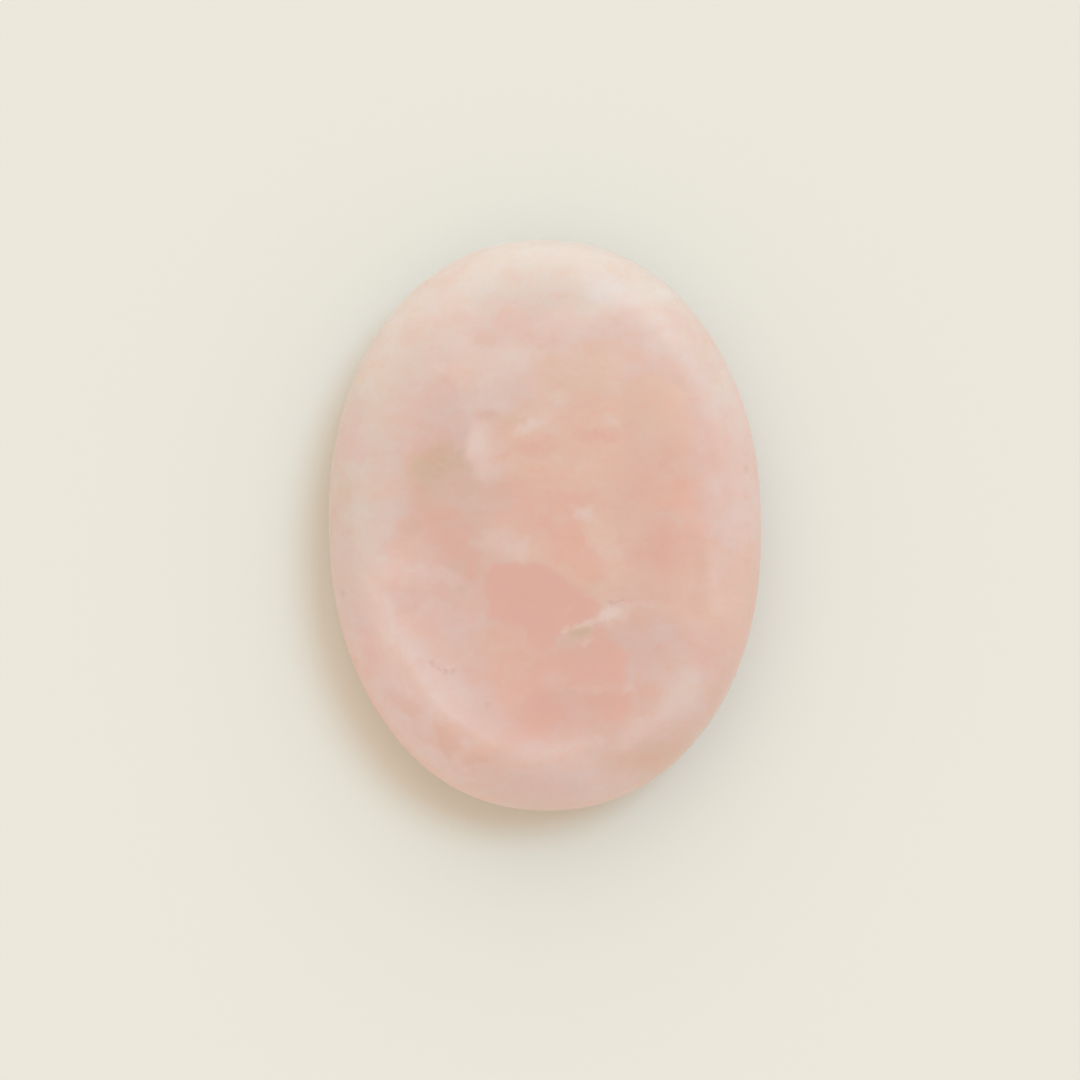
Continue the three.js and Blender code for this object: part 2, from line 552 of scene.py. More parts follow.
WARM_MIDDLE = [
    # x, y, half width and height, turn, softness, colour, strength
    (-10.5, -8.5, 7.0, 9.5, 15, 0.4, BEIGE_PINK, 0.9),
    (4.5, 3.5, 11.0, 12.5, 0, 0.3, PEACH, 1.0),
    (13.0, 9.5, 5.0, 5.5, 0, 0.4, (0.730, 0.516, 0.450), 0.85),
    (12.5, 1.5, 5.5, 6.0, 8, 0.4, RED_PEACH, 0.85),
    (13.6, 6.2, 2.4, 3.0, 0, 0.6, (0.722, 0.502, 0.440), 0.65),
    (13.5, -2.4, 4.2, 2.4, 8, 0.5, (0.732, 0.474, 0.408), 0.8),
    (12.5, -7.6, 7.0, 2.4, 0, 0.5, (0.738, 0.504, 0.434), 0.8),
    (17.8, 5.0, 2.2, 7.5, 4, 0.5, (0.695, 0.505, 0.460), 0.8),
    (-1.5, 1.6, 7.5, 2.8, -8, 0.45, RED, 0.9),
    (3.0, -2.6, 4.4, 2.6, -20, 0.45, (0.787, 0.494, 0.420), 0.85),
    (3.0, 15.6, 5.6, 2.3, 16, 0.4, OLIVE_PEACH, 0.9),
    (6.6, 18.2, 2.4, 1.1, -24, 0.5, (0.732, 0.532, 0.465), 0.75),
    (9.6, 16.6, 2.4, 1.2, 0, 0.5, (0.735, 0.545, 0.490), 0.6),
    (-9.4, 1.2, 4.4, 3.6, -25, 0.5, BROWN_PINK, 0.85),
    (-11.8, 5.0, 4.4, 3.4, 15, 0.4, (0.698, 0.480, 0.402), 0.9),
    (-12.7, 6.6, 2.8, 1.8, 35, 0.5, TAN_GREEN, 0.95),
    (-9.8, 7.7, 2.0, 1.3, -10, 0.5, (0.656, 0.478, 0.378), 0.95),
    (-8.3, 5.8, 1.0, 0.8, 0, 0.5, (0.690, 0.480, 0.388), 0.7),
    (-13.4, 3.8, 2.2, 0.8, 10, 0.5, (0.680, 0.468, 0.392), 0.6),
    (-14.4, -0.9, 1.9, 1.5, 0, 0.5, GREY_BROWN, 0.85),
    (-8.4, -2.6, 1.6, 2.6, 10, 0.5, (0.733, 0.474, 0.404), 0.85),
    (-3.0, -15.0, 3.4, 5.0, 0, 0.4, ORANGE, 0.95),
    (1.2, -15.8, 2.2, 1.8, 0, 0.5, (0.748, 0.474, 0.402), 0.95),
    (-8.4, -9.4, 2.2, 2.6, 0, 0.6, (0.728, 0.500, 0.440), 0.75),
    (-6.6, -7.6, 1.1, 3.4, 0, 0.6, (0.750, 0.490, 0.420), 0.8),
    (5.4, -17.4, 4.8, 1.1, 0, 0.5, (0.728, 0.464, 0.398), 0.9),
    (3.0, -19.6, 6.2, 2.6, 0, 0.45, (0.700, 0.455, 0.392), 0.9),
    (11.4, -10.6, 3.6, 1.7, -12, 0.5, (0.712, 0.486, 0.420), 0.8),
    (13.4, -15.6, 4.2, 5.0, -25, 0.5, SLATE_PINK, 0.9),
    (9.6, -18.2, 1.8, 1.6, 0, 0.5, DUSTY_BROWN, 0.7),
    (16.6, -6.2, 1.5, 3.2, -6, 0.5, (0.698, 0.476, 0.408), 0.8),
    (16.2, -12.4, 2.0, 1.6, 0, 0.5, (0.685, 0.470, 0.416), 0.6),
    (-15.6, -6.9, 2.6, 0.9, 12, 0.5, (0.692, 0.466, 0.406), 0.85),
    (-10.3, -21.6, 1.4, 1.7, 8, 0.5, (0.705, 0.458, 0.408), 0.8),
    (-6.0, -24.2, 2.2, 0.8, -12, 0.5, (0.680, 0.466, 0.428), 0.7),
    (-9.0, -25.2, 3.4, 1.1, -28, 0.5, (0.722, 0.536, 0.528), 0.7),
    (-13.2, -20.4, 1.4, 2.0, 30, 0.5, (0.716, 0.525, 0.505), 0.6),
    (17.6, -13.2, 2.2, 2.6, -20, 0.5, (0.694, 0.470, 0.438), 0.6),
    (12.0, -23.8, 3.8, 1.4, 32, 0.5, (0.650, 0.456, 0.396), 0.85),
    (7.4, -23.2, 1.8, 2.4, 0, 0.5, (0.666, 0.468, 0.412), 0.75),
    (-14.8, -18.4, 1.6, 1.2, 30, 0.5, (0.702, 0.472, 0.435), 0.65),
    (-18.6, -13.4, 0.9, 3.0, 24, 0.5, (0.735, 0.498, 0.480), 0.6),
]
coat = clouds(coat, drifting, WARM_MIDDLE)
print(len(WARM_MIDDLE), "grounds")

# %% [markdown]
# ## Small grains
#
# The stone is a mass of grown-together grains, and each has a shade of its own. Their shade
# hardly changes in red, only in green and blue, so it is a wash: it multiplies the colour below.
# Chance seeds are strewn through the stone, and each point takes the shade of the nearest one,
# blurred a little where two are nearly as near.

# %% Shades of grown-together grains
PINKER = (1.0, 0.935, 0.905)
PALER = (1.0, 1.055, 1.085)
GRAINS_STREWN = 900
GRAIN_BLUR = 1.2  # difference of two squared distances, in square millimetres, that blurs them
GRAIN_STRENGTH = 0.5
PARTS = 300  # the points are taken in parts, which keeps the tables of distances small

chance = np.random.default_rng(12)
seeds = chance.uniform(points.min(axis=0), points.max(axis=0), (GRAINS_STREWN, 3))
shades = chance.uniform(-1, 1, GRAINS_STREWN)


def grain_shade(where):
    """The shade at each place: the mean of the seeds' shades, weighed by exp(-squared distance)."""
    squares = ((where[:, None] - seeds) ** 2).sum(axis=-1)
    weights = np.exp((squares.min(axis=1, keepdims=True) - squares) / GRAIN_BLUR)
    return weights @ shades / weights.sum(axis=1)


shade = np.concatenate([grain_shade(part) for part in np.array_split(frayed, PARTS)])
coat = glaze(coat, coat * PINKER, step(shade, 0.0, 1.0) * GRAIN_STRENGTH)
coat = glaze(coat, coat * PALER, step(shade, 0.0, -1.0) * GRAIN_STRENGTH)
print(f"{GRAINS_STREWN} grains with shades from {shade.min():.1f} to {shade.max():.1f}")

# %% [markdown]
# ## Grains with flat sides
#
# A few single large grains are nearly even in colour and have straight sides: hearts and a bar of
# deep salmon below the middle, and a block of yellower peach at the upper right. Each is the
# overlap of half planes, because a grain has flat sides, drawn at chipped places, because polish
# eats into them. How even the colour is there is kept too, since the mottling that comes later
# leaves these grains alone.

# %% Salmon hearts and a yellow block
SALMON = (0.757, 0.458, 0.393)
LIGHT_SALMON = (0.740, 0.457, 0.391)
DEEP_SALMON = (0.720, 0.439, 0.375)
YELLOW_PEACH = (0.738, 0.520, 0.438)
CHIPPED = (1.1, 0.3, 400)  # size of the chips, how far they reach, and their seed
GRAIN_FOOT = 8.0  # height at which the large grains begin, in millimetres
GRAIN_FULL = 10.0


def grain(where, corners, edge):
    """1 inside a convex outline, given by its corners anticlockwise in mm, and 0 outside.

    For each side, the distance inwards from its line; the smallest of them is the distance to
    the outline, and the grain fades over the width of the edge, and over its foot."""
    placed = [np.array(on_stone(x, y)[:2]) for x, y in corners]
    depths = []
    for here, after in zip(placed, placed[1:] + placed[:1]):
        along = (after - here) / np.linalg.norm(after - here)
        inward = np.array([-along[1], along[0]])
        depths.append((where[:, :2] - here) @ inward)
    upright = step(where[:, 2], GRAIN_FOOT, GRAIN_FULL)
    return step(np.min(depths, axis=0), -edge, edge) * upright


UPPER_HEART = [
    (-5.9, -9.6),
    (-4.2, -10.4),
    (1.8, -11.4),
    (5.6, -9.8),
    (5.6, -8.3),
    (1.6, -5.0),
    (0.2, -4.3),
    (-3.0, -3.8),
    (-5.4, -3.9),
    (-6.3, -5.8),
]
HEART_TIP = [(-2.3, -10.4), (-1.6, -12.4), (-0.4, -13.3), (1.2, -12.6), (2.4, -10.2), (0.0, -9.0)]
LOWER_HEART = [
    (1.0, -14.2),
    (2.8, -16.8),
    (7.9, -17.1),
    (8.6, -15.4),
    (8.5, -13.6),
    (6.0, -10.4),
    (4.6, -10.9),
    (2.2, -12.5),
    (1.0, -13.5),
]
BAR = [(3.2, -18.0), (5.0, -19.3), (8.4, -19.6), (9.2, -18.5), (8.8, -17.7), (4.0, -17.5)]
LEFT_HEART = [(-2.5, -20.4), (-1.6, -21.9), (0.6, -21.0), (1.8, -19.2), (0.1, -17.3), (-1.4, -18.2)]
YELLOW_BLOCK = [(8.2, 10.4), (13.8, 9.8), (14.6, 13.6), (12.6, 15.6), (8.2, 15.2)]

GRAINS = [
    # corners, edge, colour, strength
    (YELLOW_BLOCK, 0.5, YELLOW_PEACH, 0.8),
    (UPPER_HEART, 0.45, SALMON, 1.0),
    (HEART_TIP, 0.3, SALMON, 1.0),
    (LOWER_HEART, 0.7, LIGHT_SALMON, 0.9),
    (BAR, 0.5, (0.704, 0.445, 0.379), 0.9),
    (LEFT_HEART, 0.9, DEEP_SALMON, 0.95),
]
even = np.zeros(len(points))
chipped = pushed(points, *CHIPPED)
for corners, edge, colour, strength in GRAINS:
    inside = grain(chipped, corners, edge) * strength
    coat = glaze(coat, colour, inside)
    even = np.maximum(even, inside)
print(len(GRAINS), "large grains")

# %% [markdown]
# ## Wisps in the warm middle
#
# Short redder wisps lie in the peach, most of them level or rising a little to the right, and
# some paler ones beside them.

# %% Short wisps
REDDISH = (0.768, 0.488, 0.415)
RUSTY = (0.742, 0.490, 0.416)
TAN_ROSE = (0.735, 0.538, 0.478)

WISPS = [
    # x, y, half width and height, turn, softness, colour, strength
    (5.8, 9.5, 2.8, 0.6, -8, 0.7, (0.760, 0.470, 0.398), 0.85),
    (-1.2, 8.2, 2.2, 0.7, 12, 0.7, REDDISH, 0.8),
    (-2.6, 7.6, 1.2, 0.4, 0, 0.7, REDDISH, 0.5),
    (2.0, 11.3, 1.2, 0.4, 8, 0.7, (0.772, 0.512, 0.436), 0.7),
    (3.7, 12.3, 0.9, 0.35, 0, 0.7, (0.762, 0.512, 0.440), 0.75),
    (8.7, 10.5, 0.5, 0.45, 0, 0.7, RUSTY, 0.7),
    (10.5, 12.6, 0.8, 0.35, -10, 0.7, RUSTY, 0.8),
    (12.9, 12.6, 0.6, 0.35, 0, 0.7, RUSTY, 0.6),
    (12.7, 6.1, 0.6, 0.8, 0, 0.7, (0.700, 0.475, 0.408), 0.55),
    (12.1, 4.8, 0.9, 0.4, 30, 0.7, (0.745, 0.525, 0.455), 0.6),
    (13.4, 8.1, 1.0, 0.5, -20, 0.7, (0.728, 0.492, 0.424), 0.45),
    (3.6, 3.2, 1.6, 0.5, -10, 0.7, REDDISH, 0.7),
    (4.2, 5.8, 2.6, 0.4, 4, 0.7, (0.795, 0.550, 0.468), 0.6),
    (0.6, 4.4, 1.8, 0.4, 12, 0.7, REDDISH, 0.55),
    (-2.6, 4.4, 1.4, 0.45, -20, 0.7, REDDISH, 0.55),
    (-5.4, 5.2, 1.0, 0.45, 50, 0.7, (0.712, 0.488, 0.418), 0.7),
    (8.4, 7.6, 2.2, 0.45, 14, 0.7, (0.775, 0.512, 0.438), 0.6),
    (10.0, 4.2, 1.8, 0.5, 20, 0.7, (0.752, 0.480, 0.408), 0.55),
    (15.0, 5.0, 1.4, 0.8, 40, 0.7, (0.712, 0.480, 0.415), 0.45),
    (-5.4, 11.6, 1.4, 0.4, 0, 0.7, (0.702, 0.498, 0.428), 0.8),
    (-2.6, 11.3, 1.9, 0.35, 0, 0.7, (0.735, 0.530, 0.432), 0.85),
    (-2.3, 12.5, 0.8, 0.4, 10, 0.7, (0.765, 0.530, 0.448), 0.85),
    (-0.6, 11.9, 1.4, 0.35, 5, 0.7, (0.785, 0.575, 0.500), 0.6),
    (1.3, 13.6, 1.5, 0.45, 15, 0.7, (0.790, 0.595, 0.525), 0.6),
    (-5.0, 21.3, 2.6, 0.35, 28, 0.7, TAN_ROSE, 0.6),
    (-1.2, 19.8, 0.7, 0.9, 0, 0.7, TAN_ROSE, 0.5),
    (1.0, 19.6, 0.7, 0.6, 0, 0.7, TAN_ROSE, 0.5),
    (-8.4, 27.4, 0.7, 0.5, 0, 0.7, (0.688, 0.525, 0.485), 0.5),
    (18.3, 7.4, 0.6, 1.0, 0, 0.7, (0.700, 0.485, 0.420), 0.6),
    (13.6, 0.9, 2.4, 0.5, 8, 0.7, (0.725, 0.520, 0.465), 0.6),
    (12.7, -2.2, 0.9, 2.6, 0, 0.7, (0.735, 0.456, 0.390), 0.6),
    (9.8, 3.5, 1.3, 0.4, 10, 0.7, (0.752, 0.468, 0.398), 0.6),
    (16.8, -1.6, 1.6, 0.6, -10, 0.7, (0.702, 0.464, 0.398), 0.7),
    (-12.4, -5.0, 3.8, 0.6, -12, 0.7, (0.738, 0.550, 0.495), 0.7),
    (-9.4, -4.4, 1.0, 0.6, 0, 0.7, (0.698, 0.482, 0.408), 0.7),
    (-11.0, -6.6, 1.0, 0.6, 0, 0.7, (0.726, 0.482, 0.414), 0.6),
    (-8.8, -6.6, 1.0, 0.8, 0, 0.7, (0.702, 0.484, 0.420), 0.6),
    (-11.6, -11.0, 1.0, 2.0, 0, 0.7, (0.735, 0.488, 0.424), 0.5),
    (-6.4, -0.7, 1.0, 0.45, 0, 0.7, (0.716, 0.476, 0.398), 0.7),
    (-11.0, 1.4, 1.6, 0.8, 10, 0.7, (0.728, 0.480, 0.410), 0.5),
    (-20.0, 3.6, 2.6, 0.3, 14, 0.7, (0.645, 0.505, 0.440), 0.6),
    (-20.2, 8.8, 1.3, 2.2, 0, 0.7, (0.685, 0.495, 0.480), 0.7),
    (-19.4, 12.0, 0.8, 1.2, 0, 0.7, (0.650, 0.500, 0.475), 0.5),
    (5.0, -17.3, 4.6, 0.2, -2, 0.7, (0.752, 0.505, 0.438), 0.6),
    (0.4, -15.8, 0.4, 1.2, 6, 0.7, (0.760, 0.500, 0.430), 0.4),
    (-5.6, -13.2, 1.6, 0.8, 0, 0.7, (0.758, 0.522, 0.452), 0.6),
    (-2.6, -11.6, 2.0, 0.6, -20, 0.7, (0.772, 0.500, 0.425), 0.6),
    (-5.6, -16.0, 1.6, 0.4, -20, 0.7, (0.740, 0.475, 0.402), 0.5),
    (2.2, -8.8, 0.9, 0.22, 30, 0.7, (0.768, 0.485, 0.418), 0.7),
    (-2.8, -17.8, 0.5, 0.5, 0, 0.7, (0.745, 0.520, 0.455), 0.5),
    (6.2, -21.6, 1.6, 1.0, 0, 0.7, (0.672, 0.455, 0.395), 0.5),
]
coat = clouds(coat, frayed, WISPS)
print(len(WISPS), "short wisps")

# %% [markdown]
# ## The brim
#
# At the brim the skin turns away and is seen more from the side. From there outwards the stone is
# made a little less red, and on the right side the brim is painted a shade darker than the hollow:
# painted shade that tones down the highlight along the lit brim.

# %% Painted shade at the brim
# painted shade: darkens the brim on the lit right side, over its highlight
BRIM_PAINTED_SHADE = (0.985, 0.945, 0.925)
LESS_RED = (0.978, 1.0, 1.0)

# Shares of the way out at which each shade begins, is full and, for the brim, ends again
brim = step(out, 0.76, 0.81) * step(out, 0.90, 0.84)
outer_skin = step(out, 0.72, 0.84)
# where the painted shade lies: the right side of the brim
right_brim_painted_shade = cloud(drifting, 19.0, 6.0, 7.0, 15.0, 10, 0.5)
coat = glaze(coat, coat * BRIM_PAINTED_SHADE, brim * right_brim_painted_shade * 0.9)
coat = glaze(coat, coat * LESS_RED, outer_skin)
print("the brim is a shade deeper on the right")

# %% [markdown]
# ## White spots and streaks
#
# Small bursts of white are cracks that healed and catch the light inside the stone. Most are
# soft, and bluish ones lie low on the right. A pale crescent along the brim at the lower left is
# a painted highlight, laid over the gloss that the wall of the hollow catches there.

# %% Bursts of white, and a painted highlight
WHITE = (0.790, 0.603, 0.543)
FLOWER = (0.805, 0.635, 0.580)
BLUISH = (0.676, 0.535, 0.497)
# painted highlight: the colour of the pale crescent inside the brim at the lower left
CRESCENT_HIGHLIGHT_COLOUR = (0.718, 0.548, 0.512)

WHITES = [
    # x, y, half width and height, turn, softness, colour, strength
    (-6.7, 7.9, 1.5, 2.9, 14, 0.8, WHITE, 0.75),
    (-7.0, 8.6, 0.9, 1.4, 20, 0.7, (0.800, 0.640, 0.590), 0.65),
    (-6.2, 9.9, 1.2, 0.6, 0, 0.7, WHITE, 0.4),
    (-5.6, 5.8, 1.0, 1.2, 20, 0.7, WHITE, 0.3),
    (-1.7, 10.4, 2.0, 0.6, 24, 0.7, FLOWER, 0.8),
    (3.6, 1.4, 1.2, 0.75, -32, 0.7, (0.800, 0.618, 0.568), 0.85),
    (4.8, 0.2, 1.0, 0.6, -40, 0.7, (0.787, 0.560, 0.484), 0.6),
    (5.4, -0.9, 1.4, 0.9, -60, 0.7, (0.786, 0.550, 0.470), 0.7),
    (6.6, -3.2, 1.2, 2.2, 4, 0.7, (0.787, 0.560, 0.484), 0.6),
    (7.4, -4.8, 1.4, 1.6, 20, 0.7, (0.784, 0.540, 0.462), 0.4),
    (-2.8, -2.0, 1.1, 0.8, 10, 0.7, (0.792, 0.605, 0.550), 0.75),
    (-4.4, -1.7, 2.1, 1.0, -8, 0.7, (0.770, 0.560, 0.500), 0.65),
    (7.0, 11.1, 0.9, 0.8, 0, 0.7, (0.782, 0.595, 0.535), 0.75),
    (1.6, 0.7, 0.8, 0.5, 30, 0.7, (0.785, 0.548, 0.468), 0.5),
    (14.4, -17.4, 2.3, 1.8, 25, 0.7, BLUISH, 0.85),
    (12.6, -19.4, 1.5, 1.1, 20, 0.7, BLUISH, 0.6),
    (12.0, -15.6, 1.3, 1.3, 0, 0.7, BLUISH, 0.45),
    (8.9, -17.0, 0.6, 0.4, -20, 0.7, (0.738, 0.555, 0.510), 0.65),
    (5.6, -22.3, 0.7, 0.5, 0, 0.7, (0.708, 0.540, 0.495), 0.65),
    (-0.8, -23.8, 2.8, 0.9, 8, 0.7, (0.700, 0.532, 0.492), 0.8),
    (4.6, -26.7, 1.5, 0.8, 0, 0.7, (0.690, 0.527, 0.498), 0.6),
    (-6.4, -20.8, 2.0, 1.4, -20, 0.7, (0.715, 0.530, 0.485), 0.6),
    (-7.0, -16.4, 1.3, 0.35, 8, 0.7, (0.745, 0.532, 0.472), 0.5),
    (-10.4, 24.0, 1.6, 0.7, 10, 0.7, (0.715, 0.570, 0.535), 0.4),
    (-12.2, -8.8, 1.6, 0.5, 20, 0.7, (0.735, 0.545, 0.490), 0.4),
    (7.2, -9.2, 1.7, 0.9, 10, 0.7, (0.755, 0.560, 0.500), 0.75),
    (9.8, -8.5, 2.8, 0.35, 2, 0.7, (0.742, 0.560, 0.505), 0.65),
]
coat = clouds(coat, frayed, WHITES)
# Painted highlight along the brim at the lower left, where the hollow's wall faces the light
PAINTED_CRESCENT_HIGHLIGHTS = [
    (-16.9, -9.2, 0.9, 3.0, 12, 0.6, CRESCENT_HIGHLIGHT_COLOUR, 0.85),
    (-14.6, -13.4, 1.3, 3.4, 32, 0.6, CRESCENT_HIGHLIGHT_COLOUR, 0.7),
    (-10.8, -17.9, 1.7, 2.9, 60, 0.6, (0.730, 0.556, 0.512), 0.7),
]
coat = clouds(coat, drifting, PAINTED_CRESCENT_HIGHLIGHTS)
print(len(WHITES) + len(PAINTED_CRESCENT_HIGHLIGHTS), "pale spots")

# %% [markdown]
# ## The edge
#
# At the girdle one looks along the skin through the longest way of stone. A thin deeper line is
# painted there as painted light, for the light seen through the edge: red at the lower left, mauve
# on the right, and hardly any at the milky end. The paint is then kept with the mesh, as a colour
# for each point: its fourth number says how even the colour is.

# %% A painted deeper line at the girdle, and the paint kept with the mesh
# Painted light: a deeper line at the girdle for the light seen through the stone's edge, which also
# tones down the edge's pale reflection
PAINTED_GIRDLE_LINE = [
    # x, y, half width and height, turn, softness, colour, strength
    (-16.0, -19.0, 5.5, 12.0, 38, 0.5, (0.765, 0.450, 0.400), 0.85),
    (1.0, -29.0, 9.0, 5.0, 0, 0.5, (0.715, 0.480, 0.450), 0.6),
    (21.5, 2.0, 5.0, 16.0, 0, 0.4, (0.700, 0.455, 0.425), 0.65),
    (20.0, -12.0, 4.0, 7.0, -25, 0.5, (0.715, 0.455, 0.425), 0.5),
    (10.0, 27.0, 10.0, 4.5, -30, 0.5, (0.600, 0.500, 0.452), 0.6),
]
# The line is full at the girdle and fades out over some millimetres above and below it
above_girdle = points[:, 2] - GIRDLE_HEIGHT
line = step(above_girdle, 3.2, 0.8) * step(above_girdle, -4.0, 0.0)
coat = clouds(coat, drifting, PAINTED_GIRDLE_LINE, GIRDLE_HEIGHT, TALL, line)

paint = stone.data.attributes.new("paint", "FLOAT_COLOR", "POINT")
paint.data.foreach_set("color", np.column_stack([coat, even]).ravel())
print("mean paint", coat.mean(axis=0).round(3))

# %% [markdown]
# ## A way to write a finish
#
# A finish is worked out by nodes, and sums written as node links are hard to read. A small class
# stands for one output socket, and its operators add the Math nodes, so that a line such as
# 1 - cloud * 0.5 is a line of the recipe.

# %% Sums on sockets
class Wire:
    """One output socket of a finish. Sums on it add Math nodes."""

    def __init__(self, finish, socket):
        self.finish = finish
        self.socket = socket

    def sum(self, operation, first, second):
        return self.finish.node("ShaderNodeMath", {"operation": operation}, {0: first, 1: second})

    def __add__(self, other):
        return self.sum("ADD", self, other)

    def __radd__(self, other):
        return self.sum("ADD", other, self)

    def __sub__(self, other):
        return self.sum("SUBTRACT", self, other)

    def __rsub__(self, other):
        return self.sum("SUBTRACT", other, self)

    def __mul__(self, other):
        return self.sum("MULTIPLY", self, other)

    def __rmul__(self, other):
        return self.sum("MULTIPLY", other, self)

    def __truediv__(self, other):
        return self.sum("DIVIDE", self, other)

    def __pow__(self, other):
        return self.sum("POWER", self, other)


class Finish:
    """A material whose nodes are added one by one."""

    def __init__(self, name):
        self.material = bpy.data.materials.new(name)
        self.material.use_nodes = True
        self.tree = self.material.node_tree
        self.shader = self.tree.nodes["Principled BSDF"]

    def node(self, kind, settings, sockets, output=0):
        """Adds a node, with its settings first and then its sockets, by name or by number."""
        made = self.tree.nodes.new(kind)
        for name, value in settings.items():
            setattr(made, name, value)
        for name, value in sockets.items():
            self.feed(made.inputs[name], value)
        return Wire(self, made.outputs[output])

    def feed(self, socket, value):
        """Links a socket to a wire, or gives it a plain value."""
        if isinstance(value, Wire):
            self.tree.links.new(value.socket, socket)
        else:
            socket.default_value = value


quartz = Finish("rose_quartz")
stone.data.materials.append(quartz.material)
print("the finish is called", quartz.material.name)

# %% [markdown]
# ## The stone's body
#
# Rose quartz is cloudy: light goes in, scatters for many millimetres and comes out pinker, which
# is why its shadows are soft and its flank stays light. Subsurface scattering on the Principled
# shader does this. Its weight, depth and colour split are the same all over, so they are plain
# values on the shader's own sockets.

# %% Light inside the stone
LIGHT_DEPTH = 20  # millimetres
DEPTH_BY_COLOUR = (1.0, 0.75, 0.65)  # red, green and blue, as shares of that depth
QUARTZ_IOR = 1.54
WARM_GLOSS = (1.0, 0.94, 0.87, 1)  # the colour of the gloss, which mirrors a warm room

quartz.feed(quartz.shader.inputs["Subsurface Weight"], 1.0)
quartz.feed(quartz.shader.inputs["Subsurface Scale"], LIGHT_DEPTH * MM)
quartz.feed(quartz.shader.inputs["Subsurface Radius"], DEPTH_BY_COLOUR)
quartz.feed(quartz.shader.inputs["IOR"], QUARTZ_IOR)
quartz.feed(quartz.shader.inputs["Specular Tint"], WARM_GLOSS)
print(f"light scatters over about {LIGHT_DEPTH} mm")

# %% [markdown]
# ## Mottling
#
# Seen closer, every colour of the stone is mottled: slanted wisps from a noise that is stretched
# one way, and a finer noise. As with the grains, it is a wash over the paint. It is finer than
# the points lie, so nodes work it out from the place inside the stone.

# %% Wisps and speckle
WISP_TURN = 18  # degrees from the width towards the length
WISP_STRETCH = 0.42  # wisps are longer one way, by one divided by this
WISP_STRENGTH = 0.65
SPECKLE_STRENGTH = 0.35
CALM = 0.85  # how much the mottling is held back in the large grains

painted = quartz.node("ShaderNodeAttribute", {"attribute_name": "paint"}, {}, "Color")
evenness = quartz.node("ShaderNodeAttribute", {"attribute_name": "paint"}, {}, "Alpha")
place = quartz.node(
    "ShaderNodeVectorMath",
    {"operation": "SCALE"},
    {0: quartz.node("ShaderNodeTexCoord", {}, {}, "Object"), "Scale": 1 / MM},
)


def noise(where, size, detail=3.0, offset=0.0, output="Fac"):
    """Fractal noise from 0 to 1 whose largest lumps are about a size across, in millimetres."""
    moved = quartz.node(
        "ShaderNodeVectorMath", {"operation": "ADD"}, {0: where, 1: (offset, offset, offset)}
    )
    return quartz.node(
        "ShaderNodeTexNoise",
        {"noise_dimensions": "3D"},
        {"Vector": moved, "Scale": 1 / size, "Detail": detail, "Roughness": 0.6},
        output,
    )


def between(value, zero_at, one_at):
    """A smooth step from 0 to 1 between two values of a socket."""
    return quartz.node(
        "ShaderNodeMapRange",
        {"interpolation_type": "SMOOTHSTEP"},
        {"Value": value, "From Min": zero_at, "From Max": one_at},
    )


def wash(below, shades, cover, blend="MULTIPLY"):
    """Multiplies red, green and blue by three shades where the cover is 1."""
    return quartz.node(
        "ShaderNodeMix",
        {"data_type": "RGBA", "blend_type": blend},
        {"Factor": cover, 6: below, 7: (*shades, 1)},
        2,
    )


def pushed_nodes(size, detail, offset, reach):
    """The place, pushed by 0 to a reach each way by a noise of one size, in millimetres."""
    push = quartz.node(
        "ShaderNodeVectorMath",
        {"operation": "SCALE"},
        {0: noise(place, size, detail, offset, "Color"), "Scale": reach},
    )
    return quartz.node("ShaderNodeVectorMath", {"operation": "ADD"}, {0: place, 1: push})


loose = pushed_nodes(1.6, 3.0, 29.0, 2.4)
slanted = quartz.node(
    "ShaderNodeMapping",
    {"vector_type": "POINT"},
    {
        "Vector": loose,
        "Rotation": (0, 0, np.radians(WISP_TURN)),
        "Scale": (WISP_STRETCH, 1.0, 1.0),
    },
)
wisps = noise(slanted, 1.5, 3.0, 71.0)
speckle = noise(loose, 0.8, 3.0, 19.0)
mottled = 1 - evenness * CALM
coat = wash(painted, PINKER, between(wisps, 0.52, 0.70) * mottled * WISP_STRENGTH)
coat = wash(coat, PALER, between(wisps, 0.48, 0.32) * mottled * WISP_STRENGTH)
coat = wash(coat, PINKER, between(speckle, 0.50, 0.72) * mottled * SPECKLE_STRENGTH)
coat = wash(coat, PALER, between(speckle, 0.50, 0.28) * mottled * SPECKLE_STRENGTH)
print("wisps of 1.5 mm and speckle of 0.8 mm")

# %% [markdown]
# ## The open slit, the fleck and the scratch
#
# The pits that were pressed into the mesh are painted a darker brown. The slit is tan and drab
# green inside with a mottled chalky rim, and the bright fleck beside it is a crack that runs on to
# the right as a faint straight line. These are finer than the points too, so a Mapping node moves
# a place into the frame of each mark, where a spherical gradient falls from 1 in the middle to 0.

# %% Marks with an edge
CHALK = (0.780, 0.605, 0.545)
HALO = (0.728, 0.498, 0.426)
DRAB = (0.640, 0.478, 0.370)
# a darker brown, painted in the pits and along the faint crack line
DARK_BROWN = (0.600, 0.400, 0.335)
CRUMBLING = 0.9  # how far the edges of the marks are pushed, in millimetres
MARK_HEIGHT = 3.0  # half the height of a mark, before its soft edge

crumbled = pushed_nodes(0.7, 2.0, 61.0, CRUMBLING)


def mark(below, x, y, half_x, half_y, turn, soft, colour, strength):
    """Lays one small soft ellipse of a colour over others. Lengths in mm, the turn in degrees.

    The push is half the crumbling on average, so the ellipse is moved by that much as well."""
    outside = 1 + soft
    middle = np.array(on_stone(x, y)) + CRUMBLING / 2
    own = quartz.node(
        "ShaderNodeMapping",
        {"vector_type": "TEXTURE"},
        {
            "Vector": crumbled,
            "Location": middle,
            "Rotation": (0, 0, np.radians(turn) - TILT),
            "Scale": (half_x * outside, half_y * outside, MARK_HEIGHT),
        },
    )
    fall = quartz.node("ShaderNodeTexGradient", {"gradient_type": "SPHERICAL"}, {0: own}, "Fac")
    return wash(below, colour, between(fall, 0, 2 * soft / outside) * strength, "MIX")


